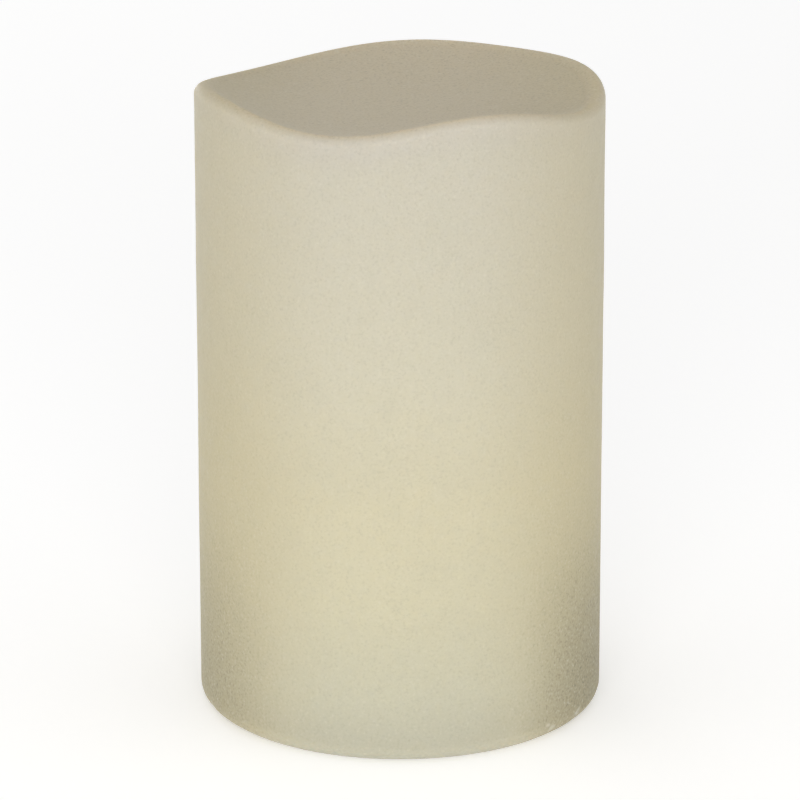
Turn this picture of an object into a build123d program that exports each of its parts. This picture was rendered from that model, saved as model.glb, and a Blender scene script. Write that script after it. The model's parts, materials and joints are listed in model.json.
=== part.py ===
from build123d import *
import os
from math import atan2, cos, hypot, radians, sqrt

# Flameless LED candle: a hollow wax pillar with a melted, wavy rim, and a plastic lamp module
# pushed into it from below. Millimetres, +Z up, origin at the centre of the foot, front along -Y.

os.makedirs("parts", exist_ok=True)

# Wax pillar
candle_radius = 38.0
rim_height = 120.0  # mean height of the top edge before it is rounded
rim_waves = (  # the melted wave: waves per turn, height, phase in degrees from the front
    (1, 1.88, 15.0),
    (2, 0.78, -83.0),
    (3, 1.25, 105.0),
    (4, 1.12, 79.0),
    (5, 0.37, 131.0),
)
dish_depth = 5.0  # from the mean rim down to the middle of the top
dish_power = 3.0  # how late the dish rises to the rim
rim_rounding = 1.8
foot_rounding = 3.4  # where the wax is thick enough for it
foot_ring = 1.6  # least width of the flat ring that the candle stands on
wax_ledge = 4.3  # step that the lamp module is pushed up against
wax_roof = 10.0
cavity_rounding = 6.0

# AA cell
cell_radius = 7.1
cell_length = 50.2
cell_nub_radius = 2.7
cell_nub_height = 1.4
sleeve_thickness = 0.15
sleeve_end_gap = 0.8

# Battery contacts
contact_thickness = 0.4
contact_size = 9.0
contact_rounding = 1.0
contact_bump_height = 0.4
contact_bump_radius = 1.8
contact_tab_width = 3.0
contact_tab_rise = 2.2  # above the roof of the battery bay
spring_length = 2.8  # as the cell presses it
spring_wire = 0.6
spring_base_radius = 4.3
spring_tip_radius = 2.9
spring_turns = 3.0

# Lamp module
module_fit = 0.4  # radial gap between the module and the wax
face_recess = 1.2  # height of the plastic face above the table
plate_thickness = 3.0
shell_wall = 1.2
bay_end_wall = 0.95  # where the bay's corners meet the cover
bay_corner = 1.5
cell_gap = 0.5
cell_side_clearance = 0.3
wire_room = 4.4  # above the battery bay
assembly_gap = 0.1
edge_break = 0.3

# Hot-melt dabs
adhesive_height = 0.6
adhesive_radius = 1.7
adhesive_count = 4

# Battery door
door_thickness = 1.6
door_ledge = 0.9
door_gap = 0.2
door_corner = 3.0
pad_thickness = 1.8
pad_end_margin = 4.0
pad_side_margin = 2.0
pad_corner = 2.0
grip_length = 22.0
grip_groove = 0.8
grip_depth = 0.4
grip_pitch = 1.8
grip_count = 5

# Door hinge
hinge_pin_radius = 0.6
hinge_pin_fit = 0.05
hinge_pin_reach = 1.3
hinge_rise = 0.95  # axis above the outer face, near the middle of the door's thickness
hinge_reach = 2.3  # axis beyond the door's edge
hinge_arm_width = 3.0
hinge_side_gap = 0.15
hinge_spacing = 22.0

# Door latch
latch_width = 9.0
latch_leg = 1.0
latch_leg_gap = 1.4
latch_bay_gap = 0.95  # between the battery bay's wall and the fixed leg
latch_rise = 8.3  # axis of the arch above the outer face
latch_hook = 0.8
latch_hook_height = 1.5
latch_hook_nose = 0.4
latch_hook_gap = 0.3  # above the lip, so that the hook swings clear of it
latch_lip_gap = 0.2
scoop_radius = 8.2
scoop_depth = 1.0
scoop_width = 12.0
scoop_reach = 3.5  # its middle beyond the lip

# Circuit board
board_length = 24.0
board_width = 9.4
board_thickness = 1.2
board_corner = 1.0
board_bay_gap = 2.85
board_cover_gap = 0.5
board_post_radius = 1.9
board_screw_inset = 2.0  # from the board's ends
board_screw_setback = 3.2  # from its front edge

# Slide switch
switch_setback = 3.4  # from the board's front edge
switch_travel = 4.0
switch_length = 11.6
switch_width = 5.6
switch_height = 4.2
switch_corner = 0.5
switch_metal = 0.3
switch_base_thickness = 0.8
switch_pin = 0.6
switch_pin_length = 3.0
switch_pin_pitch = 2.5
shuttle_width = 4.4
shuttle_height = 1.6
peg_size = 2.2
knob_length = 5.0
knob_width = 3.2
knob_corner = 0.5
knob_proud = 0.75  # below the plastic face, still clear of the table
knob_recess = 1.0
knob_side_gap = 0.2
knob_groove = 0.5
knob_groove_depth = 0.3
knob_groove_pitch = 1.3

# Parts on the board: place of each along X and from the board's back edge
chip_spot = (-6.6, 2.5)
chip_size = (5.0, 4.0, 1.5)
chip_pitch = 1.27
chip_leg = (0.4, 0.8, 0.4)
resistor_spot = (0.6, 3.6)
resistor_radius = 1.0
resistor_length = 5.4
resistor_lead_radius = 0.25
resistor_lead_reach = 1.2
capacitor_spot = (6.2, 5.6)
capacitor_radius = 2.0
capacitor_height = 5.0
crystal_spot = (-2.0, 8.2)
crystal_radius = 1.0
crystal_length = 6.0
wire_pad_setback = 1.7  # row of wire holes from the board's back edge

# Screws
screw_radius = 1.15
screw_length = 10.0
screw_head_radius = 2.1
screw_head_height = 1.5
screw_seat = 2.1  # underside of the head above the outer face
screw_post_radius = 2.8
screw_post_height = 2.4  # on the base, above its plate
screw_post_gap = 0.6
screw_post_inset = 1.0  # from the cover's wall
screw_tip_room = 1.0
board_screw_radius = 0.9
board_screw_length = 3.5
board_screw_head_radius = 1.6
board_screw_head_height = 1.1
screw_fit = 0.05
head_rounding = 0.4  # share of a head's height
cross_width = 0.5
cross_depth = 0.7

# LED
led_radius = 2.5
led_body_height = 5.0
led_flange_radius = 2.9
led_flange_height = 1.0
led_lead = 0.5
led_lead_pitch = 2.54
led_fit = 0.1
holder_wall = 0.8
holder_fit = 0.05
tower_wall = 1.2
tower_height = 4.0

# Wires
wire_radius = 0.6
wire_rise = 1.6  # centre of the level runs above the battery bay
wire_bend = 4.8
lead_overlap = 0.6
red_pad_x = 7.5
black_pad_x = 11.0
red_turn_in = 10.7  # first bend of each supply wire, in from its contact
black_turn_in = 7.2

# Heights that follow
face_z = face_recess
plate_top = face_z + plate_thickness
door_inner_z = face_z + door_thickness
door_seat_z = door_inner_z + assembly_gap
cell_z = door_inner_z + pad_thickness + assembly_gap + cell_radius
bay_roof_inner = cell_z + cell_radius + cell_side_clearance
bay_roof_outer = bay_roof_inner + shell_wall
wire_z = bay_roof_outer + wire_rise
cover_inner_top = bay_roof_outer + wire_room
cover_top = cover_inner_top + shell_wall
pocket_top = cover_top + adhesive_height
dish_centre = rim_height - dish_depth
cavity_top = dish_centre - wax_roof
switch_floor = plate_top + assembly_gap
board_z = switch_floor + switch_height + switch_base_thickness
board_top = board_z + board_thickness
flange_z = cover_top + tower_height - led_flange_height
latch_z = face_z + latch_rise
hinge_z = face_z + hinge_rise

# Lengths and places across the module that follow
cell_y = cell_radius + cell_gap / 2
bay_length = cell_length + spring_length + 2 * contact_thickness + contact_bump_height
bay_width = 2 * (cell_y + cell_radius + cell_side_clearance)
contact_x = bay_length / 2 - contact_thickness
door_length = bay_length + 2 * door_ledge
door_width = bay_width + 2 * door_ledge
bay_side = bay_width / 2 + shell_wall
board_back = bay_side + board_bay_gap
board_front = board_back + board_width
bay_reach = hypot(bay_length / 2, bay_width / 2) - bay_corner * (sqrt(2) - 1) + bay_end_wall
board_reach = hypot(board_length / 2, board_front) + board_cover_gap
cover_inner_radius = max(bay_reach, board_reach)
module_radius = cover_inner_radius + shell_wall
pocket_radius = module_radius + module_fit
lamp_cavity_radius = pocket_radius - wax_ledge
tower_inner = led_flange_radius + led_fit + holder_wall
hinge_y = -(door_width / 2 + hinge_reach)
latch_inner_y = bay_side + latch_bay_gap
latch_y = latch_inner_y + latch_leg + latch_leg_gap / 2
lip_y = latch_y + latch_leg_gap / 2 + latch_leg + latch_lip_gap
switch_y = switch_setback - board_front
knob_x = -switch_travel / 2
wire_pad_y = -(board_back + wire_pad_setback)
screw_y = bay_side + screw_post_gap + screw_post_radius
screw_x = sqrt((cover_inner_radius - screw_post_radius - screw_post_inset) ** 2 - screw_y**2)
board_screw_x = board_length / 2 - board_screw_inset
board_screw_y = board_screw_setback - board_front

screw_spots = [Pos(side * screw_x, end * screw_y, 0) for side in (-1, 1) for end in (-1, 1)]
board_screw_spots = [Pos(side * board_screw_x, board_screw_y, 0) for side in (-1, 1)]
hinge_spots = [Pos(side * hinge_spacing / 2, hinge_y, hinge_z) for side in (-1, 1)]
switch_spot = Pos(0, switch_y, 0)

LOW = (Align.CENTER, Align.CENTER, Align.MIN)


def block(low, high):
    """Box between two opposite corners."""
    size = Vector(*high) - Vector(*low)
    return Pos(*low) * Box(size.X, size.Y, size.Z, align=Align.MIN)


def standing_box(length, width, low, high):
    """Box on the axis between two heights."""
    return Pos(0, 0, low) * Box(length, width, high - low, align=LOW)


def rod(radius, low, high):
    """Upright cylinder on the axis between two heights."""
    return Pos(0, 0, low) * Cylinder(radius, high - low, align=LOW)


def cross_rod(radius, length):
    """Cylinder along X, centred."""
    return Rot(0, 90, 0) * Cylinder(radius, length)


def rounded_slab(length, width, corner, low, high):
    """Upright plate with rounded corners between two heights."""
    return Pos(0, 0, low) * extrude(RectangleRounded(length, width, corner), high - low)


def rim_edge_height(angle):
    """Height of the rim's sharp edge at an angle from the front, towards +X."""
    waves = (size * cos(count * angle - radians(phase)) for count, size, phase in rim_waves)
    return rim_height + sum(waves)


def top_height(x, y):
    """Height of the dished top over a point."""
    share = (hypot(x, y) / candle_radius) ** dish_power
    return dish_centre + (rim_edge_height(atan2(x, -y)) - dish_centre) * share


def make_wax_shell():
    reach = candle_radius + rim_rounding
    steps = 44
    marks = [reach * (2 * step / steps - 1) for step in range(steps + 1)]
    grid = [[Vector(x, y, top_height(x, y)) for y in marks] for x in marks]
    top_face = Face.make_surface_from_array_of_points(grid)
    above = extrude(top_face, amount=rim_height, dir=(0, 0, 1))
    pillar = rod(candle_radius, 0, rim_height + 2 * dish_depth) - above
    rim = pillar.edges().filter_by(lambda edge: edge.center().Z > dish_centre)
    pillar = fillet(rim, rim_rounding)
    foot = min(foot_rounding, candle_radius - pocket_radius - foot_ring)
    pillar = fillet(pillar.edges().sort_by(Axis.Z)[0], foot)
    cavity = rod(lamp_cavity_radius, 0, cavity_top)
    cavity = fillet(cavity.edges().sort_by(Axis.Z)[-1], cavity_rounding)
    return pillar - cavity - rod(pocket_radius, 0, pocket_top)


def make_base_housing():
    plate = rod(module_radius, face_z, plate_top)
    plate = chamfer(plate.edges().sort_by(Axis.Z)[0], edge_break)
    bay = rounded_slab(
        bay_length + 2 * shell_wall, 2 * bay_side, bay_corner + shell_wall, door_seat_z, bay_roof_outer
    )
    housing = plate + (bay & rod(cover_inner_radius - assembly_gap, 0, bay_roof_outer))
    for spot in screw_spots:
        housing += spot * rod(screw_post_radius, plate_top, plate_top + screw_post_height)
    for spot in board_screw_spots:
        housing += spot * rod(board_post_radius, plate_top, board_z)
    housing -= rounded_slab(bay_length, bay_width, bay_corner, 0, bay_roof_inner)
    housing -= door_cutters()
    housing -= switch_cutters()
    for spot in screw_spots:
        housing -= spot * rod(screw_head_radius + assembly_gap, 0, face_z + screw_seat)
        housing -= spot * rod(screw_radius + screw_fit, 0, plate_top + screw_post_height)
    for spot in board_screw_spots:
        depth = board_screw_length - board_thickness + screw_tip_room
        housing -= spot * rod(board_screw_radius + screw_fit, board_z - depth, board_z)
    tab_half = contact_tab_width / 2 + assembly_gap
    tab_slot = block(
        (contact_x - assembly_gap, -tab_half, bay_roof_inner - shell_wall),
        (bay_length / 2, tab_half, bay_roof_outer + shell_wall),
    )
    for side in (-1, 1):
        housing -= Pos(0, side * cell_y, 0) * tab_slot
    return housing


def door_cutters():
    """Recess of the battery door, its hinge slots and pin holes, its latch notch and finger scoop."""
    cuts = rounded_slab(
        door_length + 2 * door_gap, door_width + 2 * door_gap, door_corner + door_gap, 0, door_seat_z
    )
    slot_half = hinge_arm_width / 2 + hinge_side_gap
    slot_back = hinge_rise + door_gap
    slot = block((-slot_half, -slot_back, -hinge_z), (slot_half, hinge_reach, slot_back))
    pin_hole = cross_rod(hinge_pin_radius + hinge_pin_fit, 2 * (slot_half + hinge_pin_reach))
    for spot in hinge_spots:
        cuts += spot * (slot + pin_hole)
    notch_half = latch_width / 2 + door_gap
    cuts += block((-notch_half, 0, 0), (notch_half, lip_y, door_seat_z))
    cuts += block((-notch_half, bay_side, 0), (notch_half, lip_y, plate_top))
    scoop_z = face_z + scoop_depth - scoop_radius
    return cuts + Pos(0, lip_y + scoop_reach, scoop_z) * cross_rod(scoop_radius, scoop_width)


def switch_cutters():
    """Recess of the switch knob and the slot that its peg slides in."""
    play = switch_travel + 2 * knob_side_gap
    width_play = 2 * knob_side_gap
    recess = rounded_slab(
        knob_length + play, knob_width + width_play, knob_corner, 0, face_z + knob_recess
    )
    slot = rounded_slab(peg_size + play, peg_size + width_play, knob_corner, 0, plate_top)
    return switch_spot * (recess + slot)


def make_module_cover():
    cover = rod(module_radius, plate_top, cover_top)
    cover = chamfer(cover.edges().sort_by(Axis.Z)[-1], shell_wall / 2)
    cover -= rod(cover_inner_radius, 0, cover_inner_top)
    post_low = plate_top + screw_post_height
    pilot_top = face_z + screw_seat + screw_length + screw_tip_room
    for spot in screw_spots:
        cover += spot * rod(screw_post_radius, post_low, cover_inner_top)
        cover -= spot * rod(screw_radius + screw_fit, post_low, pilot_top)
    cover += rod(tower_inner + tower_wall, cover_top, cover_top + tower_height)
    return cover - rod(tower_inner, cover_inner_top, cover_top + tower_height)


def make_battery_door():
    door = rounded_slab(door_length, door_width, door_corner, face_z, door_inner_z)
    door = chamfer(door.edges().group_by(Axis.Z)[0], edge_break)
    half = latch_width / 2
    leg_outer_y = latch_inner_y + latch_leg
    door += block((-half, 0, face_z), (half, leg_outer_y, door_inner_z))
    door += block((-half, latch_inner_y, face_z), (half, leg_outer_y, latch_z))
    arm = cross_rod(hinge_rise, hinge_arm_width) + block(
        (-hinge_arm_width / 2, 0, -hinge_rise),
        (hinge_arm_width / 2, hinge_reach + door_ledge, door_thickness - hinge_rise),
    )
    arm += cross_rod(hinge_pin_radius, hinge_arm_width + 2 * hinge_pin_reach)
    for spot in hinge_spots:
        door += spot * arm
    groove = standing_box(grip_length, grip_groove, face_z, face_z + grip_depth)
    for step in range(grip_count):
        door -= Pos(0, grip_pitch * (step + 1), 0) * groove
    return door


def make_door_latch():
    """Free half of the latch: the arch, the sprung leg and its hook."""
    arch_outer = latch_leg_gap / 2 + latch_leg
    arch = (Circle(arch_outer) - Circle(latch_leg_gap / 2)) & Pos(0, arch_outer) * Rectangle(
        2 * arch_outer, 2 * arch_outer
    )
    leg_length = latch_rise - edge_break / 2
    leg = Pos(latch_leg_gap / 2 + latch_leg / 2, -leg_length / 2) * Rectangle(latch_leg, leg_length)
    hook_low = plate_top + latch_hook_gap - latch_z
    hook = Polygon(
        (arch_outer, hook_low),
        (arch_outer + latch_hook, hook_low),
        (arch_outer + latch_hook, hook_low + latch_hook_nose),
        (arch_outer, hook_low + latch_hook_height),
        align=None,
    )
    across = Plane(origin=(-latch_width / 2, latch_y, latch_z), x_dir=(0, 1, 0), z_dir=(1, 0, 0))
    return extrude(across * (arch + leg + hook), latch_width)


def make_door_pad():
    length = bay_length - 2 * pad_end_margin
    width = bay_width - 2 * pad_side_margin
    return rounded_slab(length, width, pad_corner, door_inner_z, door_inner_z + pad_thickness)


def lay_along_x(solid, x, y, facing):
    """Lay an upright solid along X at the cells' height, starting at a point, towards +X or -X."""
    return Pos(x, y, cell_z) * Rot(0, 90 * facing, 0) * solid


def make_cell(x, y, facing):
    """One AA cell from its flat end: the can with its nub, and the sleeve round it."""
    body_length = cell_length - cell_nub_height
    can_radius = cell_radius - sleeve_thickness
    can = rod(can_radius, 0, body_length)
    can = fillet(can.edges().filter_by(GeomType.CIRCLE), edge_break)
    nub = rod(cell_nub_radius, 0, cell_length)
    can += fillet(nub.edges().sort_by(Axis.Z)[-1], edge_break)
    sleeve = rod(cell_radius, sleeve_end_gap, body_length - sleeve_end_gap)
    sleeve -= rod(can_radius, 0, body_length)
    return lay_along_x(can, x, y, facing), lay_along_x(sleeve, x, y, facing)


def make_contact(side, places, bump_y=None, tab_y=None):
    """Contact plate against an end wall of the bay, across the cells at the given places."""
    inner, outer = sorted((side * contact_x, side * bay_length / 2))
    half = contact_size / 2
    plate = block((inner, min(places) - half, cell_z - half), (outer, max(places) + half, cell_z + half))
    plate = fillet(plate.edges().filter_by(Axis.X), contact_rounding)
    if tab_y is not None:
        tab_half = contact_tab_width / 2
        tab_top = bay_roof_outer + contact_tab_rise
        plate += block((inner, tab_y - tab_half, cell_z), (outer, tab_y + tab_half, tab_top))
    if bump_y is not None:
        bump_tip = contact_bump_radius - contact_bump_height
        bump = Cone(contact_bump_radius, bump_tip, contact_bump_height, align=LOW)
        plate += lay_along_x(bump, side * contact_x, bump_y, -side)
    return plate


def make_spring(side, y):
    """Cone spring from a contact plate to the flat end of a cell."""
    rise = spring_length - spring_wire
    taper = Vector(rise, 0).get_angle(Vector(rise, spring_base_radius - spring_tip_radius))
    path = Helix(pitch=rise / spring_turns, height=rise, radius=spring_base_radius, cone_angle=-taper)
    section = Plane(origin=path @ 0, z_dir=path % 0) * Circle(spring_wire / 2)
    coil = Pos(0, 0, spring_wire / 2) * sweep(section, path=path, is_frenet=True)
    return lay_along_x(coil, side * contact_x, y, -side)


def make_board():
    middle = Pos(0, -(board_front + board_back) / 2, 0)
    board = middle * rounded_slab(board_length, board_width, board_corner, board_z, board_top)
    for spot in board_screw_spots:
        board -= spot * rod(board_screw_radius + screw_fit, board_z, board_top)
    hole = standing_box(switch_pin + assembly_gap, switch_pin + assembly_gap, board_z, board_top)
    for step in (-1, 0, 1):
        board -= Pos(step * switch_pin_pitch, switch_y, 0) * hole
    return board


def on_board(spot, solid):
    """Set a part on the board, a given way along X and from its back edge."""
    return Pos(spot[0], -(board_back + spot[1]), board_top) * solid


def make_chip():
    length, width, height = chip_size
    stand_off = assembly_gap
    chip = standing_box(length, width, stand_off, stand_off + height)
    chip = chamfer(chip.edges().group_by(Axis.Z)[-1], edge_break)
    leg = Box(*chip_leg, align=LOW)
    for step in range(4):
        for side in (-1, 1):
            chip += Pos((step - 1.5) * chip_pitch, side * (width / 2 + assembly_gap), 0) * leg
    return chip


def make_resistor():
    rise = resistor_radius + assembly_gap
    body = fillet(cross_rod(resistor_radius, resistor_length).edges(), edge_break)
    lead_x = resistor_length / 2 + resistor_lead_reach
    body += cross_rod(resistor_lead_radius, 2 * lead_x)
    for side in (-1, 1):
        body += Pos(side * lead_x, 0, 0) * rod(resistor_lead_radius, -rise, resistor_lead_radius)
    return Pos(0, 0, rise) * body


def make_capacitor():
    can = rod(capacitor_radius, assembly_gap, assembly_gap + capacitor_height)
    can = fillet(can.edges().sort_by(Axis.Z)[-1], edge_break)
    return can + rod(capacitor_radius - edge_break, 0, assembly_gap)


def make_crystal():
    can = Pos(0, 0, crystal_radius) * cross_rod(crystal_radius, crystal_length)
    return fillet(can.edges().sort_by(Axis.X)[-1], edge_break)


def make_switch():
    """Slide switch: metal frame, insulating base with its pins, and the slider with its peg."""
    top = switch_floor + switch_height
    frame = rounded_slab(switch_length, switch_width, switch_corner, switch_floor, top)
    frame -= standing_box(
        switch_length - 2 * switch_metal, switch_width - 2 * switch_metal, switch_floor + switch_metal, top
    )
    play = switch_travel + 2 * knob_side_gap
    frame -= standing_box(peg_size + play, peg_size + 2 * knob_side_gap, 0, top)
    base = standing_box(switch_length, switch_width, top, top + switch_base_thickness)
    for step in (-1, 0, 1):
        base += Pos(step * switch_pin_pitch, 0, 0) * standing_box(
            switch_pin, switch_pin, top, top + switch_pin_length
        )
    shuttle_z = switch_floor + switch_metal + assembly_gap
    shuttle_length = switch_length - 2 * switch_metal - switch_travel - 2 * knob_side_gap
    slider = standing_box(shuttle_length, shuttle_width, shuttle_z, shuttle_z + shuttle_height)
    slider += standing_box(peg_size, peg_size, face_z + assembly_gap, shuttle_z + shuttle_height)
    return switch_spot * frame, switch_spot * base, switch_spot * Pos(knob_x, 0, 0) * slider


def make_switch_knob():
    top = face_z + knob_recess - assembly_gap
    bottom = face_z - knob_proud
    knob = rounded_slab(knob_length, knob_width, knob_corner, bottom, top)
    knob = chamfer(knob.edges().group_by(Axis.Z)[0], edge_break / 2)
    for step in (-1, 0, 1):
        groove = standing_box(knob_groove, knob_width, bottom, bottom + knob_groove_depth)
        knob -= Pos(step * knob_groove_pitch, 0, 0) * groove
    socket = peg_size + assembly_gap
    knob -= standing_box(socket, socket, face_z, top)
    return switch_spot * Pos(knob_x, 0, 0) * knob


def make_screw(radius, length, head_radius, head_height):
    """Pan head with a cross recess, below z = 0, and the shank above it."""
    head = rod(head_radius, -head_height, 0)
    head = fillet(head.edges().sort_by(Axis.Z)[0], head_height * head_rounding)
    screw = head + rod(radius, 0, length)
    screw = chamfer(screw.edges().sort_by(Axis.Z)[-1], radius / 2)
    cut = standing_box(head_radius, cross_width, -head_height, cross_depth - head_height)
    return screw - cut - Rot(0, 0, 90) * cut


def make_led():
    """LED lens with its flange, its two leads, and the bush that holds it in the tower."""
    lens = rod(led_radius, flange_z, flange_z + led_body_height)
    lens += Pos(0, 0, flange_z + led_body_height) * Sphere(led_radius)
    lens += rod(led_flange_radius, flange_z, flange_z + led_flange_height)
    lead = standing_box(led_lead, led_lead, wire_z - lead_overlap, flange_z)
    leads = [Pos(side * led_lead_pitch / 2, 0, 0) * lead for side in (-1, 1)]
    holder = rod(tower_inner - holder_fit, cover_inner_top, cover_top + tower_height)
    holder -= rod(led_flange_radius + led_fit, flange_z, cover_top + tower_height)
    holder -= rod(led_radius - holder_wall / 2, cover_inner_top, flange_z)
    return lens, leads, holder


def make_wire(points):
    """Round wire along straight runs joined by arcs."""
    runs = [(Vector(*end) - Vector(*start)).length for start, end in zip(points, points[1:])]
    bends = [min(wire_bend, min(pair) / 2) for pair in zip(runs, runs[1:])]
    path = FilletPolyline(*points, radius=bends)
    section = Plane(origin=path @ 0, z_dir=path % 0) * Circle(wire_radius)
    return sweep(section, path=path)


def make_supply_wire(y, turn_in, pad_x):
    """Wire from a contact's tab, over the battery bay and down to the board."""
    return make_wire(
        [
            (contact_x, y, wire_z),
            (contact_x - turn_in, y, wire_z),
            (pad_x, wire_pad_y, wire_z),
            (pad_x, wire_pad_y, board_top),
        ]
    )


def save(name, shape):
    """Write a solid, or several solids as one group."""
    whole = Compound(children=shape) if isinstance(shape, list) else shape
    export_step(whole, f"parts/{name}.step")


save("wax_shell", make_wax_shell())
save("base_housing", make_base_housing())
save("module_cover", make_module_cover())
save("battery_door", make_battery_door())
save("door_latch", make_door_latch())
save("door_pad", make_door_pad())

for number, facing in ((1, 1), (2, -1)):
    can, sleeve = make_cell(facing * (spring_length - contact_x), facing * cell_y, facing)
    save(f"battery_{number}", can)
    save(f"battery_{number}_sleeve", sleeve)

save("positive_contact", make_contact(1, [cell_y], bump_y=cell_y, tab_y=cell_y))
save("negative_contact", make_contact(1, [-cell_y], tab_y=-cell_y))
save("bridge_contact", make_contact(-1, [-cell_y, cell_y], bump_y=-cell_y))
save("negative_spring", make_spring(1, -cell_y))
save("bridge_spring", make_spring(-1, cell_y))

save("circuit_board", make_board())
save("timer_chip", on_board(chip_spot, make_chip()))
save("resistor", on_board(resistor_spot, make_resistor()))
save("capacitor", on_board(capacitor_spot, make_capacitor()))
save("crystal", on_board(crystal_spot, make_crystal()))

switch_frame, switch_base, switch_slider = make_switch()
save("switch_frame", switch_frame)
save("switch_base", switch_base)
save("switch_slider", switch_slider)
save("switch_knob", make_switch_knob())

led_lens, led_leads, led_holder = make_led()
save("led_lens", led_lens)
save("led_leads", led_leads)
save("led_holder", led_holder)

for colour, side in (("red", 1), ("black", -1)):
    x = side * led_lead_pitch / 2
    points = [(x, wire_pad_y, board_top), (x, wire_pad_y, wire_z), (x, -led_lead / 2, wire_z)]
    save(f"led_wire_{colour}", make_wire(points))
save("supply_wire_red", make_supply_wire(cell_y, red_turn_in, red_pad_x))
save("supply_wire_black", make_supply_wire(-cell_y, black_turn_in, black_pad_x))

cover_screw = make_screw(screw_radius, screw_length, screw_head_radius, screw_head_height)
save("cover_screws", [spot * Pos(0, 0, face_z + screw_seat) * cover_screw for spot in screw_spots])
board_screw = Rot(180, 0, 0) * make_screw(
    board_screw_radius, board_screw_length, board_screw_head_radius, board_screw_head_height
)
save("board_screws", [spot * Pos(0, 0, board_top) * board_screw for spot in board_screw_spots])

dab = Pos((lamp_cavity_radius + module_radius) / 2, 0, 0) * rod(adhesive_radius, cover_top, pocket_top)
save("adhesive_dabs", [Rot(0, 0, 360 / adhesive_count * turn) * dab for turn in range(adhesive_count)])
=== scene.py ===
import json
from math import atan, copysign, cos, exp, hypot, pi, radians, sin

import bpy
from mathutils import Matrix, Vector, noise


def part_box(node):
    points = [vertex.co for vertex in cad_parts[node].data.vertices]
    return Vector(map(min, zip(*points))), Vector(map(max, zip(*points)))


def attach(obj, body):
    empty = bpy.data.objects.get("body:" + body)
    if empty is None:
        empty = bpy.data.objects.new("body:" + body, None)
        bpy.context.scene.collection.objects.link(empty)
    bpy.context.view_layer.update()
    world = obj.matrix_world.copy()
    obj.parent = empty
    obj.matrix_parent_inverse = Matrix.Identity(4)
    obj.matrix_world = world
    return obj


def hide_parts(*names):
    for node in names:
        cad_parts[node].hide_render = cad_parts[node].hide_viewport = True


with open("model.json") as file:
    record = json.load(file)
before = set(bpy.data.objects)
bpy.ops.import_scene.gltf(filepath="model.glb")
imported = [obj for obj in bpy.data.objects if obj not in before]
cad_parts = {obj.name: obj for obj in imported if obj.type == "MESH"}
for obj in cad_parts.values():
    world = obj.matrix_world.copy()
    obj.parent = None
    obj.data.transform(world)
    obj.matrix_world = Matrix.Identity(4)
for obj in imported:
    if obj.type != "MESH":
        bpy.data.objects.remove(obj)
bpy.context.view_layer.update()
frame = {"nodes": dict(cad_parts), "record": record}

# Looks of the flameless LED candle, in metres, in the CAD model's own frame: +Z up, front along -Y.
# Names ending in _mm, and the sizes given to Surface's patterns, are in millimetres.

nodes = frame["nodes"]
MM = 0.001

# Sizes read from the CAD model
candle_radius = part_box("wax_shell")[1][0]
pocket_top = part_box("adhesive_dabs")[1][2]
module_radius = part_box("base_housing")[1][0]
pad_low, pad_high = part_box("door_pad")
cell_low, cell_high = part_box("battery_1")
sleeve_low, sleeve_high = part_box("battery_1_sleeve")
cell_y = (cell_low[1] + cell_high[1]) / 2
cell_radius = (sleeve_high[2] - sleeve_low[2]) / 2

# Wax sizes that no box gives: the same values as the CAD model's
module_fit = 0.4 * MM
wax_ledge = 4.3 * MM
rim_mean = 120.0 * MM
rim_waves_mm = (  # waves per turn, height, and phase in degrees from the front
    (1, 1.88, 15.0),
    (2, 0.78, -83.0),
    (3, 1.25, 105.0),
    (4, 1.12, 79.0),
    (5, 0.37, 131.0),
)
dish_centre = 115.0 * MM
dish_power = 3.0
rim_rounding = 1.8 * MM
foot_rounding = 3.4 * MM
cavity_rounding = 6.0 * MM
cavity_top = 105.0 * MM
pocket_radius = module_radius + module_fit
lamp_cavity_radius = pocket_radius - wax_ledge

# Wear of the wax
chips_mm = (  # angle from the front towards +X in degrees, then height, width and depth
    (38.0, 1.2, 1.1, 0.30),
    (47.0, 2.9, 0.8, 0.26),
    (49.0, 1.7, 1.2, 0.34),
    (56.0, 5.6, 0.6, 0.16),
    (62.0, 2.2, 1.4, 0.38),
    (81.0, 1.0, 1.0, 0.26),
    (-33.0, 1.0, 0.8, 0.22),
    (-71.0, 1.8, 1.3, 0.28),
    (121.0, 1.3, 1.5, 0.36),
    (126.0, 2.6, 0.7, 0.22),
    (168.0, 1.1, 1.1, 0.28),
    (-121.0, 1.6, 1.6, 0.34),
    (34.0, 117.4, 0.8, 0.14),
    (36.5, 116.1, 0.5, 0.10),
    (-148.0, 118.3, 0.9, 0.18),
    (104.0, 64.0, 0.8, 0.12),
    (-96.0, 33.0, 0.7, 0.13),
    (19.0, 21.0, 0.5, 0.08),
)
chip_reach = 3  # widths from its centre beyond which a chip does nothing
chip_steepness = 1.6
coarse_break = 700  # waves in the ragged edges of the chips, per metre
fine_break = 1900
full_wear = 0.25 * MM  # depth from which a chip shows its palest
relief_waves_mm = ((26.0, 0.16), (9.0, 0.05), (3.2, 0.016))  # size and depth

wax_tones_top = 120.0 * MM  # height that the last tone belongs to
# The tones carry painted light: a painted lamp glow, paler and warmer, from about a quarter to half way
# up, and painted shade darkening the wax towards the foot.
wax_tones = (  # share of the way up to it, and the wax's colour there
    (0.00, (0.425, 0.412, 0.330)),
    (0.10, (0.500, 0.482, 0.372)),
    (0.25, (0.545, 0.512, 0.375)),
    (0.42, (0.555, 0.515, 0.375)),
    (0.62, (0.535, 0.505, 0.398)),
    (1.00, (0.505, 0.478, 0.400)),
)

# Foam pad
pad_corner = 2.0 * MM
pad_edge = 0.7 * MM
pad_hollow = 0.42 * MM  # how deep each cell presses
pad_hollow_steepness = 5
pad_pore_depth = 0.10 * MM
pad_pores = 900  # waves per metre


# --- Geometry helpers ---------------------------------------------------------------------------------


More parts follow.
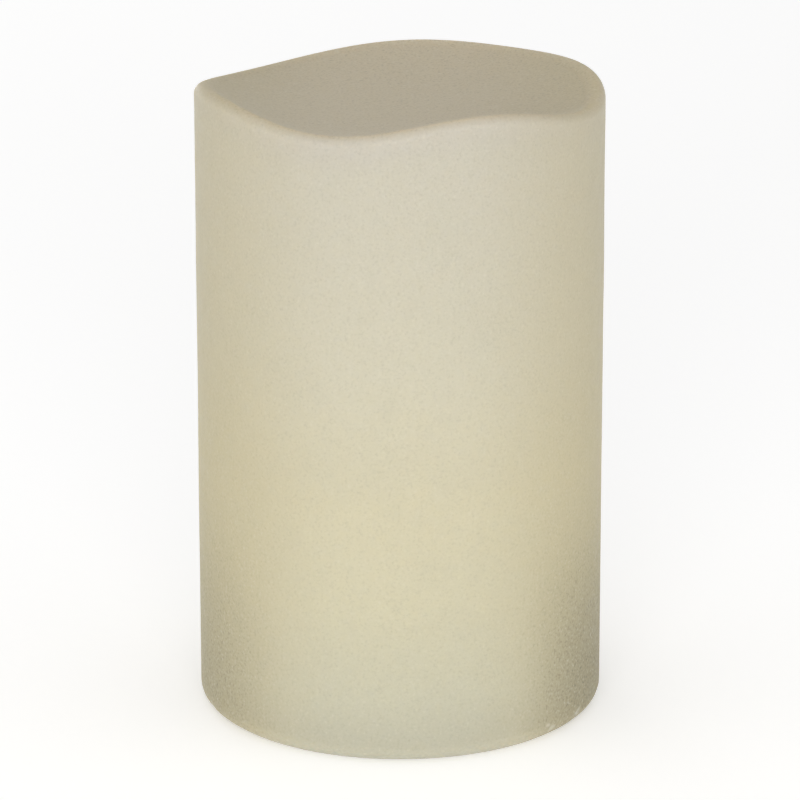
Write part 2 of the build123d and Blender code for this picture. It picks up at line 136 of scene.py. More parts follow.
def add_piece(name, verts, faces, material, body):
    """New mesh piece that rides on a body and takes the finish of a slot."""
    mesh = bpy.data.meshes.new(name)
    mesh.from_pydata(verts, [], faces)
    mesh.polygons.foreach_set("use_smooth", [True] * len(faces))
    mesh.materials.append(material)
    mesh.update()
    piece = bpy.data.objects.new(name, mesh)
    bpy.context.scene.collection.objects.link(piece)
    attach(piece, body)
    return piece


def turned_faces(rows, turns):
    """Quads between neighbouring rings of points, which are listed ring by ring."""
    faces = []
    for row in range(rows - 1):
        for step in range(turns):
            here = row * turns + step
            beside = row * turns + (step + 1) % turns
            faces.append((here, beside, beside + turns, here + turns))
    return faces


# --- Wax --------------------------------------------------------------------------------------------


def rim_edge(angle):
    """Height of the melted rim at an angle from the front."""
    waves = (size * cos(count * angle - radians(phase)) for count, size, phase in rim_waves_mm)
    return rim_mean + MM * sum(waves)


def top_height(radius, angle):
    """Height of the dished top, which rises late to the rim."""
    share = (radius / candle_radius) ** dish_power
    return dish_centre + (rim_edge(angle) - dish_centre) * share


def top_slope(radius, angle):
    """Angle at which the top rises outwards."""
    rise = dish_power * (rim_edge(angle) - dish_centre) / candle_radius
    return atan(rise * (radius / candle_radius) ** (dish_power - 1))


def round_over(across, up, radius, turns):
    """Arc about a centre, through the given directions from +X."""
    return [(across + radius * cos(turn), up + radius * sin(turn)) for turn in turns]


def spread(first, last, count):
    """Evenly spaced values after the first one, up to the last."""
    return [first + (last - first) * (step + 1) / count for step in range(count)]


def wax_profile(angle):
    """Points (radius, height) of the wax at one angle, from the middle of the top, over the rim, down
    the wall, round the foot, up the module's pocket and into the lamp cavity."""
    tilt = 0.0
    for _ in range(3):
        rim_radius = candle_radius - rim_rounding * (1 + sin(tilt))
        tilt = top_slope(rim_radius, angle)
    crown = top_height(rim_radius, angle) - rim_rounding * cos(tilt)

    rim_centre = candle_radius - rim_rounding
    foot_centre = candle_radius - foot_rounding
    shoulder_centre = lamp_cavity_radius - cavity_rounding
    shoulder = cavity_top - cavity_rounding

    points = [(radius, top_height(radius, angle)) for radius in spread(0, rim_radius, 50)]
    points += round_over(rim_centre, crown, rim_rounding, spread(pi / 2 + tilt, 0, 14))
    points += [(candle_radius, height) for height in spread(crown, foot_rounding, 150)]
    points += round_over(foot_centre, foot_rounding, foot_rounding, spread(0, -pi / 2, 10))
    points += [(radius, 0) for radius in spread(foot_centre, pocket_radius, 3)]
    points += [(pocket_radius, height) for height in spread(0, pocket_top, 8)]
    points += [(radius, pocket_top) for radius in spread(pocket_radius, lamp_cavity_radius, 3)]
    points += [(lamp_cavity_radius, height) for height in spread(pocket_top, shoulder, 12)]
    points += round_over(shoulder_centre, shoulder, cavity_rounding, spread(0, pi / 2, 8))
    points += [(radius, cavity_top) for radius in spread(shoulder_centre, 0, 6)[:-1]]
    return points


def chip_depth(point):
    """How deep the chips cut at a point of the outer wall. Their edges are ragged."""
    depth = 0.0
    for degrees, height, width, cut in chips_mm:
        angle = radians(degrees)
        centre = Vector((candle_radius * sin(angle), -candle_radius * cos(angle), height * MM))
        gap = (point - centre).length / (width * MM)
        if gap < chip_reach:
            coarse = 0.9 * noise.noise(point * coarse_break)
            fine = 0.5 * noise.noise(point * fine_break)
            depth += cut * MM * exp(-(gap**2) * chip_steepness) * max(0.0, 1 + coarse + fine)
    return depth


def wax_relief(point):
    """Depth of the uneven, hand-poured surface at a point."""
    depth = 0.0
    for size, deep in relief_waves_mm:
        depth += deep * MM * (0.5 + 0.5 * noise.noise(point / (size * MM)))
    return depth


def worn_point(angle, radius, height):
    """Point of the wax with its wear, the depth of the chip there, and its distance below the rim.
    The last two are 0 off the wall, and the hidden faces inside and underneath have no wear."""
    point = Vector((radius * sin(angle), -radius * cos(angle), height))
    if radius > candle_radius - foot_rounding and height > 0.2 * MM:
        inward = Vector((-sin(angle), cos(angle), 0))
        if height < foot_rounding:
            inward.z = 1 - height / foot_rounding
        chip = chip_depth(point)
        point += inward.normalized() * (wax_relief(point) + chip)
        return point, chip, rim_edge(angle) - height
    if height > cavity_top + 5 * MM:
        point.z -= wax_relief(point)
    return point, 0.0, 0.0


def make_wax(material):
    """Whole wax pillar as one turned mesh, closed by a fan at the middle of the top and of the cavity."""
    turns = 480
    columns = [wax_profile(2 * pi * step / turns) for step in range(turns)]
    rows = len(columns[0])
    verts = []
    wear = []
    below_rim = []
    for row in range(rows):
        for step in range(turns):
            point, chip, drop = worn_point(2 * pi * step / turns, *columns[step][row])
            verts.append(point)
            wear.append(min(1.0, chip / full_wear))
            below_rim.append(drop)
    top_middle = Vector((0, 0, top_height(0, 0)))
    top_middle.z -= wax_relief(top_middle)
    cavity_middle = Vector((0, 0, cavity_top))
    faces = turned_faces(rows, turns)
    for row, middle in ((0, top_middle), (rows - 1, cavity_middle)):
        pole = len(verts)
        verts.append(middle)
        wear.append(0.0)
        below_rim.append(0.0)
        for step in range(turns):
            first = row * turns + step
            second = row * turns + (step + 1) % turns
            faces.append((pole, second, first) if row == 0 else (pole, first, second))
    piece = add_piece("wax_pillar", verts, faces, material, "candle")
    for layer_name, values in (("wear", wear), ("below_rim", below_rim)):
        layer = piece.data.attributes.new(layer_name, "FLOAT", "POINT")
        layer.data.foreach_set("value", values)
    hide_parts("wax_shell")
    return piece


# --- Materials ----------------------------------------------------------------------------------------


class Surface:
    """Procedural material round one Principled shader. Patterns lie in the frame's own metres."""

    def __init__(self, name, colour, roughness, **constants):
        self.material = bpy.data.materials.new(name)
        self.material.use_nodes = True
        self.tree = self.material.node_tree
        self.shader = self.tree.nodes["Principled BSDF"]
        self.place = self.add("ShaderNodeTexCoord").outputs["Object"]
        self.colour = (*colour, 1.0)
        self.roughness = roughness
        self.normal = None
        for socket, value in constants.items():
            self.shader.inputs[socket.replace("_", " ")].default_value = value

    def add(self, kind, **settings):
        """New node, with its properties set."""
        node = self.tree.nodes.new(kind)
        for name, value in settings.items():
            setattr(node, name, value)
        return node

    def feed(self, socket, value):
        """Link another node's output to a socket, or set a plain value on it."""
        if isinstance(value, bpy.types.NodeSocket):
            self.tree.links.new(value, socket)
        else:
            socket.default_value = value

    def stretched(self, stretch):
        """The surface's coordinates, scaled along each axis."""
        mapping = self.add("ShaderNodeMapping")
        self.feed(mapping.inputs["Vector"], self.place)
        mapping.inputs["Scale"].default_value = stretch
        return mapping.outputs["Vector"]

    def noise(self, size, detail=2.0, stretch=None, distortion=0.0):
        """Cloudy noise with features of a given size in millimetres."""
        node = self.add("ShaderNodeTexNoise")
        self.feed(node.inputs["Vector"], self.stretched(stretch) if stretch else self.place)
        node.inputs["Scale"].default_value = 1 / (size * MM)
        node.inputs["Detail"].default_value = detail
        node.inputs["Distortion"].default_value = distortion
        return node.outputs["Fac"]

    def cells(self, size):
        """Distance to the middle of the nearest of many cells of a given size in millimetres."""
        node = self.add("ShaderNodeTexVoronoi", feature="F1")
        self.feed(node.inputs["Vector"], self.place)
        node.inputs["Scale"].default_value = 1 / (size * MM)
        return node.outputs["Distance"]

    def axis(self, letter):
        """One coordinate of the surface, in metres."""
        node = self.add("ShaderNodeSeparateXYZ")
        self.feed(node.inputs["Vector"], self.place)
        return node.outputs[letter]

    def maths(self, operation, first, second=0.0):
        """Result of one sum, product or other step on values or outputs."""
        node = self.add("ShaderNodeMath", operation=operation)
        self.feed(node.inputs[0], first)
        self.feed(node.inputs[1], second)
        return node.outputs[0]

    def remap(self, value, start, end, low=0.0, high=1.0, curve="SMOOTHSTEP"):
        """Value that goes from low to high while another goes from start to end."""
        node = self.add("ShaderNodeMapRange", interpolation_type=curve)
        self.feed(node.inputs["Value"], value)
        self.feed(node.inputs["From Min"], start)
        self.feed(node.inputs["From Max"], end)
        self.feed(node.inputs["To Min"], low)
        self.feed(node.inputs["To Max"], high)
        return node.outputs["Result"]

    def tint(self, share, colour):
        """Mix a colour into the surface by a share."""
        node = self.add("ShaderNodeMix", data_type="RGBA", blend_type="MIX")
        base_socket, tint_socket = node.inputs[6], node.inputs[7]
        self.feed(node.inputs["Factor"], share)
        self.feed(base_socket, self.colour)
        self.feed(tint_socket, (*colour, 1.0))
        self.colour = node.outputs[2]

    def rough(self, value, start, end, low, high):
        """Roughness that goes from low to high while a pattern goes from start to end."""
        self.roughness = self.remap(value, start, end, low, high, "LINEAR")

    def bump(self, height, depth, strength=1.0):
        """Relief of a given depth in millimetres, over what is there already."""
        node = self.add("ShaderNodeBump")
        node.inputs["Distance"].default_value = depth * MM
        node.inputs["Strength"].default_value = strength
        self.feed(node.inputs["Height"], height)
        if self.normal:
            self.feed(node.inputs["Normal"], self.normal)
        self.normal = node.outputs["Normal"]

    def done(self):
        """Link what was built up to the shader."""
        self.feed(self.shader.inputs["Base Color"], self.colour)
        self.feed(self.shader.inputs["Roughness"], self.roughness)
        if self.normal:
            self.feed(self.shader.inputs["Normal"], self.normal)
        return self.material


def set_wax_tones(wax, height):
    """Start the wax from the tones that belong to each height, with the lamp's glow and the shade at the
    foot painted into them.
    """
    tones = wax.add("ShaderNodeValToRGB")
    wax.feed(tones.inputs["Fac"], wax.remap(height, 0.0, wax_tones_top, curve="LINEAR"))
    stops = tones.color_ramp.elements
    for place, tone in wax_tones[1:-1]:
        stops.new(place)
    for stop, (place, tone) in zip(stops, wax_tones):
        stop.position = place
        stop.color = (*tone, 1.0)
    wax.colour = tones.outputs["Color"]


def share_on_top(wax, height):
    """1 on the dished top inside the rim, 0 on the wall."""
    level = wax.add("ShaderNodeCombineXYZ")
    for letter in "XY":
        wax.feed(level.inputs[letter], wax.axis(letter))
    reach = wax.add("ShaderNodeVectorMath", operation="LENGTH")
    wax.feed(reach.inputs[0], level.outputs[0])
    distance = reach.outputs["Value"]
    inside_rim = wax.remap(distance, candle_radius - 0.1 * MM, candle_radius - rim_rounding)
    above_wall = wax.remap(height, 107 * MM, 109 * MM)
    return wax.maths("MULTIPLY", inside_rim, above_wall)


def share_of_dust_and_shade(wax, height):
    """Share of painted shade low down at both sides, and less on the left."""
    side = wax.axis("X")
    right = wax.remap(side, 20 * MM, 37 * MM)
    left = wax.remap(side, -20 * MM, -38 * MM, 0.0, 0.65)
    low = wax.remap(height, 50 * MM, 6 * MM)
    return wax.maths("MULTIPLY", low, wax.maths("ADD", right, left))


def share_of_grain(wax, plain, dust_and_shade, in_dust_and_shade, on_top, at_top):
    """How much grain shows: on the plain wall, and how much more of it in the full painted shade low at
    the sides and on the top.
    """
    dusty_and_shaded = wax.maths("MULTIPLY", dust_and_shade, in_dust_and_shade)
    topping = wax.maths("MULTIPLY", on_top, at_top)
    return wax.maths("ADD", plain, wax.maths("ADD", dusty_and_shaded, topping))


def wax_finish():
    """Ivory wax with light and shade painted in: a painted lamp glow, paler and warmer, low in the middle
    of the wall; painted shade at the foot, below the rim, on the flanks and low at both sides; painted
    warm light on the top.
    """
    wax = Surface(
        "wax_ivory",
        wax_tones[-1][1],
        0.6,
        Subsurface_Weight=1.0,
        Subsurface_Radius=(1.0, 0.87, 0.68),
        Subsurface_Scale=4 * MM,
        Specular_IOR_Level=0.22,
    )
    height = wax.axis("Z")
    set_wax_tones(wax, height)

    # Unevenness of the pour
    clouds = wax.noise(14.0, 3.0, distortion=0.4)
    wax.tint(wax.remap(clouds, 0.40, 0.75, 0.0, 0.14), (0.46, 0.44, 0.35))
    mottle = wax.noise(2.6, 4.0)
    wax.tint(wax.remap(mottle, 0.45, 0.80, 0.0, 0.18), (0.45, 0.43, 0.34))

    # Painted shade along the rim, on the flanks and low at both sides; painted warm light on the top
    # Painted shade: the wall is greyed over its last 9 mm below the rim.
    below_rim = wax.add("ShaderNodeAttribute", attribute_name="below_rim").outputs["Fac"]
    wax.tint(wax.remap(below_rim, 9 * MM, 0.5 * MM, 0.0, 0.8), (0.49, 0.462, 0.405))
    # Painted warm light: the dished top is tinted warmer than the wall.
    on_top = share_on_top(wax, height)
    wax.tint(on_top, (0.575, 0.505, 0.372))
    # Painted shade on the left and right flanks, darker and warmer, stronger low down.
    flank_shade = wax.remap(wax.maths("ABSOLUTE", wax.axis("X")), 10 * MM, 40 * MM)
    flank_shade_strength = wax.remap(height, 115 * MM, 20 * MM, 0.50, 0.75)
    wax.tint(wax.maths("MULTIPLY", flank_shade, flank_shade_strength), (0.475, 0.412, 0.25))
    # Painted shade low down at both sides, strongest at the lower right.
    dust_and_shade = share_of_dust_and_shade(wax, height)
    wax.tint(wax.maths("MULTIPLY", dust_and_shade, 0.75), (0.26, 0.235, 0.155))

    # Grain and dark specks
    grain = wax.noise(0.50, 3.0)
    dark_share = share_of_grain(wax, 0.13, dust_and_shade, 0.70, on_top, 0.12)
    dark_grain = wax.remap(grain, 0.50, 0.75)
    wax.tint(wax.maths("MULTIPLY", dark_grain, dark_share), (0.17, 0.155, 0.11))
    pale_share = share_of_grain(wax, 0.26, dust_and_shade, 0.30, on_top, 0.25)
    pale_grain = wax.remap(grain, 0.46, 0.22, 0.0, 0.8)
    wax.tint(wax.maths("MULTIPLY", pale_grain, pale_share), (0.66, 0.635, 0.54))
    specks = wax.remap(wax.cells(2.3), 0.10, 0.04, 0.0, 0.16)
    wax.tint(specks, (0.30, 0.27, 0.20))

    # Pale wax in the chips
    wear = wax.add("ShaderNodeAttribute", attribute_name="wear").outputs["Fac"]
    wax.tint(wax.remap(wear, 0.20, 1.0, 0.0, 0.45), (0.66, 0.64, 0.56))

    wax.rough(mottle, 0.3, 0.7, 0.56, 0.70)
    wax.bump(mottle, 0.08, 0.4)
    wax.bump(grain, 0.05, 0.6)
    return wax.done()


def moulded_plastic(name, colour, dirt, roughness=0.48, spark=0.35):
    """Moulded plastic with a fine spark-eroded texture, faint clouding, dirt in its grain and scuffs."""
    plastic = Surface(name, colour, roughness, Specular_IOR_Level=0.45)
    clouds = plastic.noise(9.0, 3.0)
    plastic.tint(plastic.remap(clouds, 0.35, 0.75, 0.0, 0.35), dirt)
    grain = plastic.noise(spark, 2.0)
    plastic.tint(plastic.remap(grain, 0.55, 0.80, 0.0, 0.25), dirt)
    scuffs = plastic.noise(1.2, 3.0, stretch=(0.12, 1.0, 1.0), distortion=0.8)
    darker_dirt = tuple(0.8 * part for part in dirt)
    plastic.tint(plastic.remap(scuffs, 0.66, 0.74, 0.0, 0.22), darker_dirt)
    plastic.rough(scuffs, 0.35, 0.75, roughness - 0.08, roughness + 0.14)
    plastic.bump(grain, 0.03, 0.7)
    plastic.bump(clouds, 0.05, 0.3)
    return plastic.done()


def gloss_plastic(name, colour, dust_and_shade, roughness=0.28):
    """Smooth plastic with soft ripples, dust and hairline scratches."""
    plastic = Surface(name, colour, roughness, Specular_IOR_Level=0.5)
    dusty_and_shaded = plastic.noise(3.0, 4.0)
    plastic.tint(plastic.remap(dusty_and_shaded, 0.50, 0.80, 0.0, 0.35), dust_and_shade)
    hairs = plastic.noise(0.5, 2.0, stretch=(1.0, 0.06, 1.0), distortion=0.3)
    plastic.rough(hairs, 0.40, 0.75, roughness, roughness + 0.22)
    plastic.bump(dusty_and_shaded, 0.03, 0.4)
    plastic.bump(hairs, 0.01, 0.4)
    return plastic.done()


def plated_metal(name, colour, tarnish, roughness=0.26, stretch=(1.0, 0.08, 1.0)):
    """Plated metal with drawing lines one way, tarnish in patches and fine pits."""
    metal = Surface(name, colour, roughness, Metallic=1.0)
    lines = metal.noise(0.35, 3.0, stretch=stretch)
    patches = metal.noise(3.5, 4.0, distortion=0.6)
    metal.tint(metal.remap(patches, 0.48, 0.78, 0.0, 0.65), tarnish)
    metal.tint(metal.remap(lines, 0.50, 0.80, 0.0, 0.25), tarnish)
    metal.rough(patches, 0.35, 0.75, roughness, roughness + 0.22)
    metal.bump(lines, 0.012, 0.6)
    metal.bump(metal.cells(0.8), 0.010, 0.3)
    return metal.done()


def sleeve_finish():
    """Cell sleeve: dark green, then a pale line and a copper-coloured band at each cell's button end."""
    sleeve = Surface(
        "cell_sleeve_green", (0.020, 0.075, 0.040), 0.25, Coat_Weight=0.4, Coat_Roughness=0.15
    )
    blur = 0.1 * MM
    line_start = 10.6 * MM
    line_end = 11.4 * MM
    band_start = 11.8 * MM
    facing = sleeve.maths("SIGN", sleeve.axis("Y"))  # the two cells lie opposite ways round
    along = sleeve.maths("MULTIPLY", sleeve.axis("X"), facing)
    band = sleeve.remap(along, band_start, band_start + 2 * blur)
    sleeve.tint(band, (0.55, 0.25, 0.10))
    past_start = sleeve.remap(along, line_start, line_start + blur)
    before_end = sleeve.remap(along, line_end + blur, line_end)
    sleeve.tint(sleeve.maths("MULTIPLY", past_start, before_end), (0.60, 0.60, 0.58))
    worn = sleeve.noise(4.0, 4.0, distortion=0.5)
    sleeve.tint(sleeve.remap(worn, 0.55, 0.80, 0.0, 0.30), (0.16, 0.17, 0.15))
    fine = sleeve.noise(0.5, 3.0)
    sleeve.rough(worn, 0.35, 0.75, 0.20, 0.42)
    sleeve.bump(worn, 0.03, 0.4)
    sleeve.bump(fine, 0.008, 0.4)
    return sleeve.done()


def foam_finish():
    """Dark closed-cell foam, with open pores where it was cut."""
    foam = Surface(
        "foam_grey", (0.030, 0.030, 0.033), 0.92, Sheen_Weight=0.25, Sheen_Roughness=0.5
    )
    pores = foam.cells(0.55)
    foam.tint(foam.remap(pores, 0.30, 0.05, 0.0, 0.8), (0.008, 0.008, 0.009))
    foam.tint(foam.remap(foam.noise(5.0, 3.0), 0.45, 0.75, 0.0, 0.5), (0.060, 0.059, 0.058))
    foam.rough(pores, 0.1, 0.6, 0.85, 0.98)
    foam.bump(pores, 0.16, 0.8)
    foam.bump(foam.noise(1.6, 4.0), 0.12, 0.5)
    return foam.done()


def board_finish():
    """Green solder mask with raised copper tracks under it, a faint weave and flux stains."""
    board = Surface(
        "board_green", (0.012, 0.085, 0.030), 0.30, Coat_Weight=0.5, Coat_Roughness=0.12
    )
    tracks = board.add("ShaderNodeTexBrick", offset=0.5, squash=1.0)
    board.feed(tracks.inputs["Vector"], board.place)
    tracks.inputs["Scale"].default_value = 1.0
    tracks.inputs["Brick Width"].default_value = 5.1 * MM
    tracks.inputs["Row Height"].default_value = 1.7 * MM
    tracks.inputs["Mortar Size"].default_value = 0.22 * MM
    board.tint(tracks.outputs["Fac"], (0.030, 0.150, 0.055))
    weave = board.noise(0.45, 2.0, stretch=(1.0, 0.25, 1.0))
    board.tint(board.remap(weave, 0.45, 0.75, 0.0, 0.30), (0.030, 0.120, 0.045))
    flux = board.noise(2.4, 4.0, distortion=0.7)
    board.tint(board.remap(flux, 0.60, 0.80, 0.0, 0.40), (0.10, 0.11, 0.05))
    board.rough(flux, 0.40, 0.75, 0.24, 0.48)
    board.bump(tracks.outputs["Fac"], 0.035, 0.8)
    board.bump(weave, 0.010, 0.5)
    return board.done()


def resistor_finish():
    """Beige lacquer with four colour bands, on tinned leads."""
    low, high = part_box("resistor")
    middle = (low[0] + high[0]) / 2
    bands_mm = (  # from the middle, and the band's colour
        (-1.7, (0.10, 0.030, 0.012)),
        (-0.8, (0.010, 0.010, 0.010)),
        (0.1, (0.45, 0.030, 0.015)),
        (1.6, (0.45, 0.30, 0.07)),
    )
    half_body = 2.7 * MM
    lacquer = Surface(
        "resistor_beige", (0.52, 0.40, 0.22), 0.30, Coat_Weight=0.3, Coat_Roughness=0.1
    )
    along = lacquer.maths("SUBTRACT", lacquer.axis("X"), middle)
    for place, colour in bands_mm:
        off = lacquer.maths("ABSOLUTE", lacquer.maths("SUBTRACT", along, place * MM))
        lacquer.tint(lacquer.remap(off, 0.30 * MM, 0.22 * MM), colour)
    from_middle = lacquer.maths("ABSOLUTE", along)
    leads = lacquer.remap(from_middle, half_body - 0.02 * MM, half_body + 0.02 * MM)
    lacquer.tint(leads, (0.52, 0.51, 0.49))
    lacquer.feed(lacquer.shader.inputs["Metallic"], leads)
    ripple = lacquer.noise(0.9, 3.0)
    lacquer.tint(lacquer.remap(ripple, 0.5, 0.8, 0.0, 0.3), (0.36, 0.28, 0.16))
    lacquer.rough(ripple, 0.35, 0.75, 0.24, 0.40)
    lacquer.bump(ripple, 0.03, 0.5)
    return lacquer.done()


def capacitor_finish():
    """Dark sleeve with a pale stripe down one side and a bare aluminium top."""
    low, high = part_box("capacitor")
    middle_x = (low[0] + high[0]) / 2
    middle_y = (low[1] + high[1]) / 2
    lid_start = high[2] - 0.20 * MM
    sleeve = Surface(
        "capacitor_dark", (0.010, 0.012, 0.030), 0.25, Coat_Weight=0.4, Coat_Roughness=0.1
    )
    off = sleeve.maths("ABSOLUTE", sleeve.maths("SUBTRACT", sleeve.axis("X"), middle_x))
    back = sleeve.remap(sleeve.axis("Y"), middle_y, middle_y + 0.1 * MM)
    stripe = sleeve.maths("MULTIPLY", sleeve.remap(off, 0.75 * MM, 0.65 * MM), back)
    sleeve.tint(stripe, (0.50, 0.52, 0.56))
    lid = sleeve.remap(sleeve.axis("Z"), lid_start, lid_start + 0.08 * MM)
    sleeve.tint(lid, (0.62, 0.62, 0.61))
    sleeve.feed(sleeve.shader.inputs["Metallic"], lid)
    ripple = sleeve.noise(1.1, 3.0)
    sleeve.rough(ripple, 0.35, 0.75, 0.18, 0.36)
    sleeve.bump(ripple, 0.03, 0.5)
    return sleeve.done()


def epoxy_finish():
    """Clear LED epoxy over a warm yellow die coating."""
    epoxy = Surface(
        "led_epoxy_clear",
        (0.95, 0.90, 0.78),
        0.08,
        Transmission_Weight=0.75,
        IOR=1.52,
        Coat_Weight=0.3,
    )
    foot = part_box("led_lens")[0][2]
    die = epoxy.remap(epoxy.axis("Z"), foot + 3.2 * MM, foot + 1.5 * MM)
    epoxy.tint(die, (0.90, 0.72, 0.20))
    cloud = epoxy.noise(1.4, 3.0)
    epoxy.tint(epoxy.remap(cloud, 0.5, 0.8, 0.0, 0.3), (0.80, 0.76, 0.64))
    epoxy.rough(cloud, 0.35, 0.75, 0.05, 0.20)
    epoxy.bump(cloud, 0.02, 0.4)
    return epoxy.done()


def laminate_finish():
    """Brown phenolic laminate, in thin layers, with tinned pins through it."""
    base_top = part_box("switch_base")[0][2] + 0.84 * MM
    laminate = Surface("switch_laminate", (0.115, 0.050, 0.020), 0.45, Specular_IOR_Level=0.45)
    layers = laminate.noise(0.25, 2.0, stretch=(0.1, 0.1, 1.0))
    laminate.tint(laminate.remap(layers, 0.45, 0.70, 0.0, 0.6), (0.19, 0.095, 0.040))
    pins = laminate.remap(laminate.axis("Z"), base_top - 0.02 * MM, base_top + 0.02 * MM)
    laminate.tint(pins, (0.56, 0.55, 0.52))
    laminate.feed(laminate.shader.inputs["Metallic"], pins)
    laminate.rough(layers, 0.35, 0.75, 0.36, 0.58)
    laminate.bump(layers, 0.02, 0.6)
    return laminate.done()


def melt_finish():
    """Milky hot melt, lumpy as it set."""
    melt = Surface(
        "hot_melt_milky",
        (0.70, 0.64, 0.48),
        0.30,
        Subsurface_Weight=0.6,
        Subsurface_Radius=(1.0, 0.9, 0.7),
        Subsurface_Scale=1 * MM,
    )
    lumps = melt.noise(2.0, 3.0)
    melt.tint(melt.remap(lumps, 0.45, 0.75, 0.0, 0.5), (0.58, 0.52, 0.37))
    melt.rough(lumps, 0.35, 0.75, 0.22, 0.42)
    melt.bump(lumps, 0.12, 0.6)
    return melt.done()


def make_finishes():
    """One material for each of the record's slots."""
    return {
        "wax": wax_finish(),
        "base_plastic": moulded_plastic("base_ivory", (0.62, 0.585, 0.50), (0.46, 0.425, 0.35)),
        "cover_plastic": moulded_plastic("cover_white", (0.66, 0.64, 0.58), (0.52, 0.50, 0.43)),
        "foam": foam_finish(),
        "cell_steel": plated_metal("cell_nickel", (0.66, 0.64, 0.60), (0.42, 0.39, 0.34)),
        "cell_sleeve": sleeve_finish(),
        "contact_nickel": plated_metal("contact_nickel_plate", (0.68, 0.66, 0.60), (0.44, 0.40, 0.32)),
        "board": board_finish(),
        "chip": moulded_plastic("chip_black", (0.018, 0.018, 0.020), (0.045, 0.044, 0.044), 0.5, 0.2),
        "resistor_body": resistor_finish(),
        "capacitor_sleeve": capacitor_finish(),
        "switch_metal": plated_metal("switch_tin", (0.58, 0.58, 0.57), (0.40, 0.39, 0.37), 0.32),
        "switch_insulation": laminate_finish(),
        "knob_plastic": gloss_plastic("knob_black", (0.014, 0.014, 0.015), (0.065, 0.063, 0.060)),
        "led_epoxy": epoxy_finish(),
        "wire_red": gloss_plastic("wire_red_pvc", (0.42, 0.012, 0.010), (0.30, 0.05, 0.04), 0.34),
        "wire_black": gloss_plastic("wire_black_pvc", (0.012, 0.012, 0.013), (0.05, 0.05, 0.05), 0.34),
        "screw_steel": plated_metal(
            "screw_zinc", (0.54, 0.54, 0.54), (0.34, 0.34, 0.33), 0.30, (1.0, 1.0, 0.15)
        ),
        "hot_melt": melt_finish(),
    }


def dress_nodes(finishes):
    """Give every CAD node the material of its slot."""
    for part in frame["record"]["subparts"]:
        for slot in nodes[part["node"]].material_slots:
            slot.material = finishes[part["material_slot"]]


# --- Foam pad on the door -----------------------------------------------------------------------------


def pad_outline(u, v):
    """Point of the pad's rounded rectangle for u and v from -1 to 1, and its distance from the edge."""
    half_length = (pad_high[0] - pad_low[0]) / 2
    half_width = (pad_high[1] - pad_low[1]) / 2
    x = u * half_length
    y = v * half_width
    over_x = abs(x) - (half_length - pad_corner)
    over_y = abs(y) - (half_width - pad_corner)
    if over_x <= 0 or over_y <= 0:
        return x, y, min(half_length - abs(x), half_width - abs(y))
    reach = max(over_x, over_y)
    shrink = reach / hypot(over_x, over_y)
    x = copysign(half_length - pad_corner + over_x * shrink, x)
    y = copysign(half_width - pad_corner + over_y * shrink, y)
    return x, y, pad_corner - reach


def pad_top(x, y, inside):
    """Height of the pad's top: soft at the edge, hollowed under each cell, uneven with pores."""
    fall = min(1.0, max(0.0, 1 - inside / pad_edge))
    rounding = pad_edge * (1 - (1 - fall**2) ** 0.5)
    gap = min(abs(y - cell_y), abs(y + cell_y)) / cell_radius
    hollow = pad_hollow * exp(-(gap**2) * pad_hollow_steepness)
    pores = pad_pore_depth * (0.5 + 0.5 * noise.noise(Vector((x, y, 0)) * pad_pores))
    return pad_high[2] - rounding - hollow - pores


def make_pad(material):
    """Foam pad with soft edges, crowned between the two shallow hollows that the cells press in it."""
    across, along = 64, 110
    verts = []
    for side in ("top", "bottom"):
        for row in range(across + 1):
            for step in range(along + 1):
                x, y, inside = pad_outline(2 * step / along - 1, 2 * row / across - 1)
                verts.append((x, y, pad_top(x, y, inside) if side == "top" else pad_low[2]))
    sheet = (across + 1) * (along + 1)
    faces = []
    for row in range(across):
        for step in range(along):
            here = row * (along + 1) + step
            quad = (here, here + 1, here + along + 2, here + along + 1)
            faces.append(quad)
            faces.append(tuple(sheet + index for index in reversed(quad)))
    border = list(range(along + 1))
    border += [(row + 1) * (along + 1) + along for row in range(across)]
    border += [across * (along + 1) + step for step in reversed(range(along))]
    border += [row * (along + 1) for row in reversed(range(1, across))]
    for first, second in zip(border, border[1:] + border[:1]):
        faces.append((second, first, first + sheet, second + sheet))
    pad = add_piece("cell_pad", verts, faces, material, "door")
    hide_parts("door_pad")
    return pad


# --- Studio -------------------------------------------------------------------------------------------


def aim(thing, place, target):
    """Put a camera or light at a place, facing the target, and link it to the scene."""
    thing.location = place
    thing.rotation_euler = (Vector(target) - Vector(place)).to_track_quat("-Z", "Y").to_euler()
    bpy.context.scene.collection.objects.link(thing)


def from_target(target, distance, azimuth, elevation):
    """Point at a distance from the target: azimuth 0 is in front, on -Y, and 90 is on +X."""
    turn, rise = radians(azimuth), radians(elevation)
    level = distance * cos(rise)
    return Vector(target) + Vector((level * sin(turn), -level * cos(turn), distance * sin(rise)))


def make_camera():
    """Long lens from the front and a little above, so that the wall's sides stay nearly parallel."""
    elevation = 18.2
    distance = 27 * candle_radius
    target = (0, 0, 1.533 * candle_radius)
    camera = bpy.data.cameras.new("camera")
    camera.sensor_width = 36
    camera.lens = 246.3
    camera.clip_start = 10 * MM
    thing = bpy.data.objects.new("camera", camera)
    aim(thing, from_target(target, distance, 0, elevation), target)
    bpy.context.scene.camera = thing


def add_light(name, distance, azimuth, elevation, size, power, colour):
    """Round soft light that faces the middle of the candle."""
    target = (0, 0, 60 * MM)
    light = bpy.data.lights.new(name, "AREA")
    light.shape = "DISK"
    light.size = size
    light.energy = power
    light.color = colour
    place = from_target(target, distance, azimuth, elevation)
    aim(bpy.data.objects.new(name, light), place, target)


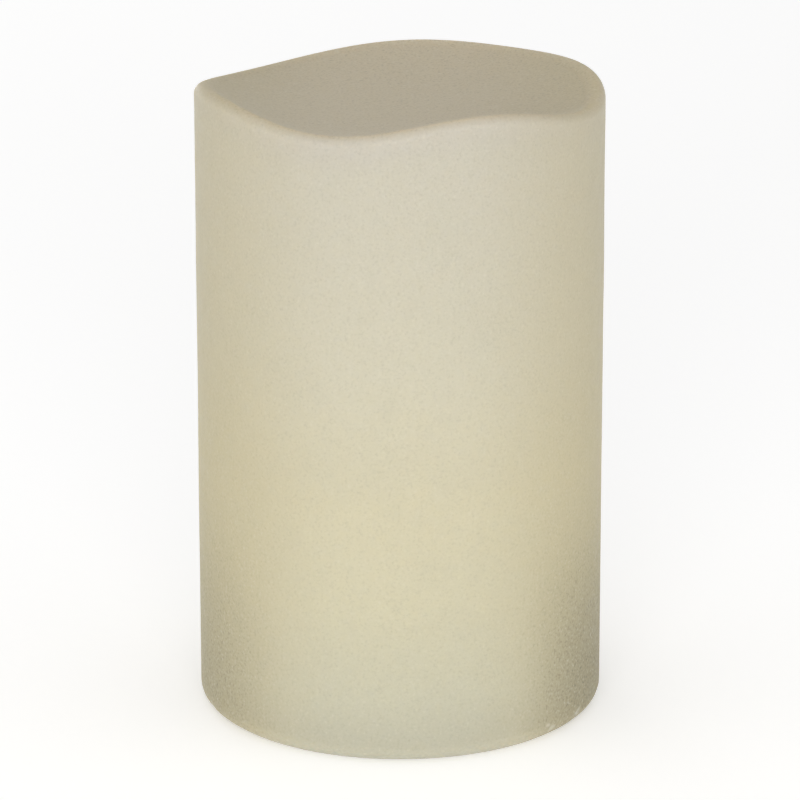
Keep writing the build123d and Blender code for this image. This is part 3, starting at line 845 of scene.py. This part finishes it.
def make_studio():
    """White surroundings, a broad key light in front and a weaker one behind on the left."""
    scene = bpy.context.scene
    scene.view_settings.view_transform = "Standard"
    world = bpy.data.worlds.new("studio")
    world.use_nodes = True
    sky = world.node_tree.nodes["Background"]
    sky.inputs["Color"].default_value = (1.0, 1.0, 1.0, 1.0)
    sky.inputs["Strength"].default_value = 0.62
    scene.world = world
    add_light(
        "key", distance=1.3, azimuth=-2, elevation=9, size=0.9, power=11.2, colour=(1.0, 0.99, 0.97)
    )
    add_light(
        "fill", distance=1.5, azimuth=203, elevation=2, size=0.6, power=4.0, colour=(1.0, 0.98, 0.95)
    )
    make_floor()


def make_floor():
    """Pale floor. It is open under the lamp module and seen through from below, so that light reaches
    the underside and the battery door has room to hang open."""
    corners = 96
    hole_radius = pocket_radius + 1.0 * MM
    floor_radius = 6.0
    points = []
    for radius in (hole_radius, floor_radius):
        for step in range(corners):
            angle = 2 * pi * step / corners
            points.append((radius * cos(angle), radius * sin(angle), 0))
    mesh = bpy.data.meshes.new("floor")
    mesh.from_pydata(points, [], [face[::-1] for face in turned_faces(2, corners)])
    floor = bpy.data.objects.new("floor", mesh)
    bpy.context.scene.collection.objects.link(floor)

    paper = bpy.data.materials.new("floor_paper")
    paper.use_nodes = True
    tree = paper.node_tree
    shader = tree.nodes["Principled BSDF"]
    shader.inputs["Base Color"].default_value = (0.94, 0.94, 0.94, 1.0)
    shader.inputs["Roughness"].default_value = 0.9
    shader.inputs["Emission Color"].default_value = (1.0, 1.0, 1.0, 1.0)
    shader.inputs["Emission Strength"].default_value = 0.30
    side = tree.nodes.new("ShaderNodeNewGeometry").outputs["Backfacing"]
    clear = tree.nodes.new("ShaderNodeBsdfTransparent")
    both = tree.nodes.new("ShaderNodeMixShader")
    tree.links.new(side, both.inputs["Fac"])
    tree.links.new(shader.outputs[0], both.inputs[1])
    tree.links.new(clear.outputs[0], both.inputs[2])
    tree.links.new(both.outputs[0], tree.nodes["Material Output"].inputs["Surface"])
    mesh.materials.append(paper)


finishes = make_finishes()
dress_nodes(finishes)
make_wax(finishes["wax"])
make_pad(finishes["foam"])
make_studio()
make_camera()
